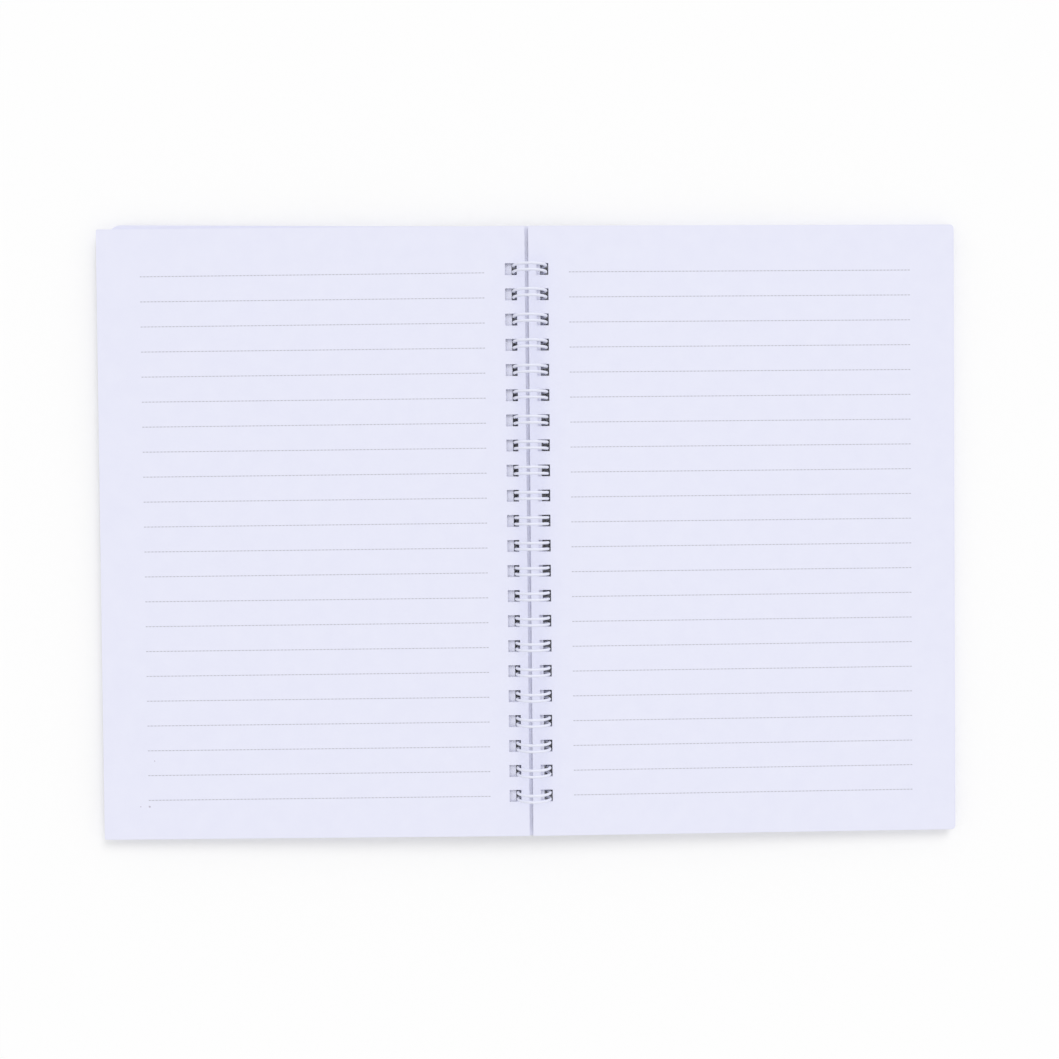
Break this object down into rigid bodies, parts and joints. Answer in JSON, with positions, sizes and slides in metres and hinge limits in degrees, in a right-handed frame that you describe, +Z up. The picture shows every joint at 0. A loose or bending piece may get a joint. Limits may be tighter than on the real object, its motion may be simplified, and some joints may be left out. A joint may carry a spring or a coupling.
{
  "type": "open spiral notebook",
  "caption": "Twin-loop wire-bound notebook lying open flat, with ruled white leaves, card covers and halves that turn about the wire.",
  "frame": {"origin": "on the table, under the middle of the open spread's outline", "axes": "+X across the spread from the left page to the right page, +Y up the page along the spine, +Z up out of the page"},
  "size_m": [0.2898, 0.2076, 0.012],
  "materials": {
    "leaf_paper": "uncoated writing paper, cool white, ruled in grey",
    "cover_card": "smooth pale card, matt",
    "coated_wire": "white nylon-coated steel wire, satin"
  },
  "bodies": {
    "back": {"back_cover": "cover_card", "wire_binding": "coated_wire"},
    "front_cover": {"front_cover": "cover_card"},
    "left_leaves": {"left_leaves": "leaf_paper"},
    "right_leaves": {"right_leaves": "leaf_paper"}
  },
  "joints": [
    {"name": "front_cover_turn", "type": "hinge", "parent": "back", "child": "front_cover", "pos_m": [0.00075, 0, 0.00605], "axis": [0, 1, 0], "range_deg": [0, 180]},
    {"name": "left_leaves_turn", "type": "hinge", "parent": "front_cover", "child": "left_leaves", "pos_m": [0.00075, 0, 0.00605], "axis": [0, 1, 0], "range_deg": [0, 180]},
    {"name": "right_leaves_turn", "type": "hinge", "parent": "back", "child": "right_leaves", "pos_m": [0.00075, 0, 0.00605], "axis": [0, 1, 0], "range_deg": [-180, 0]}
  ]
}
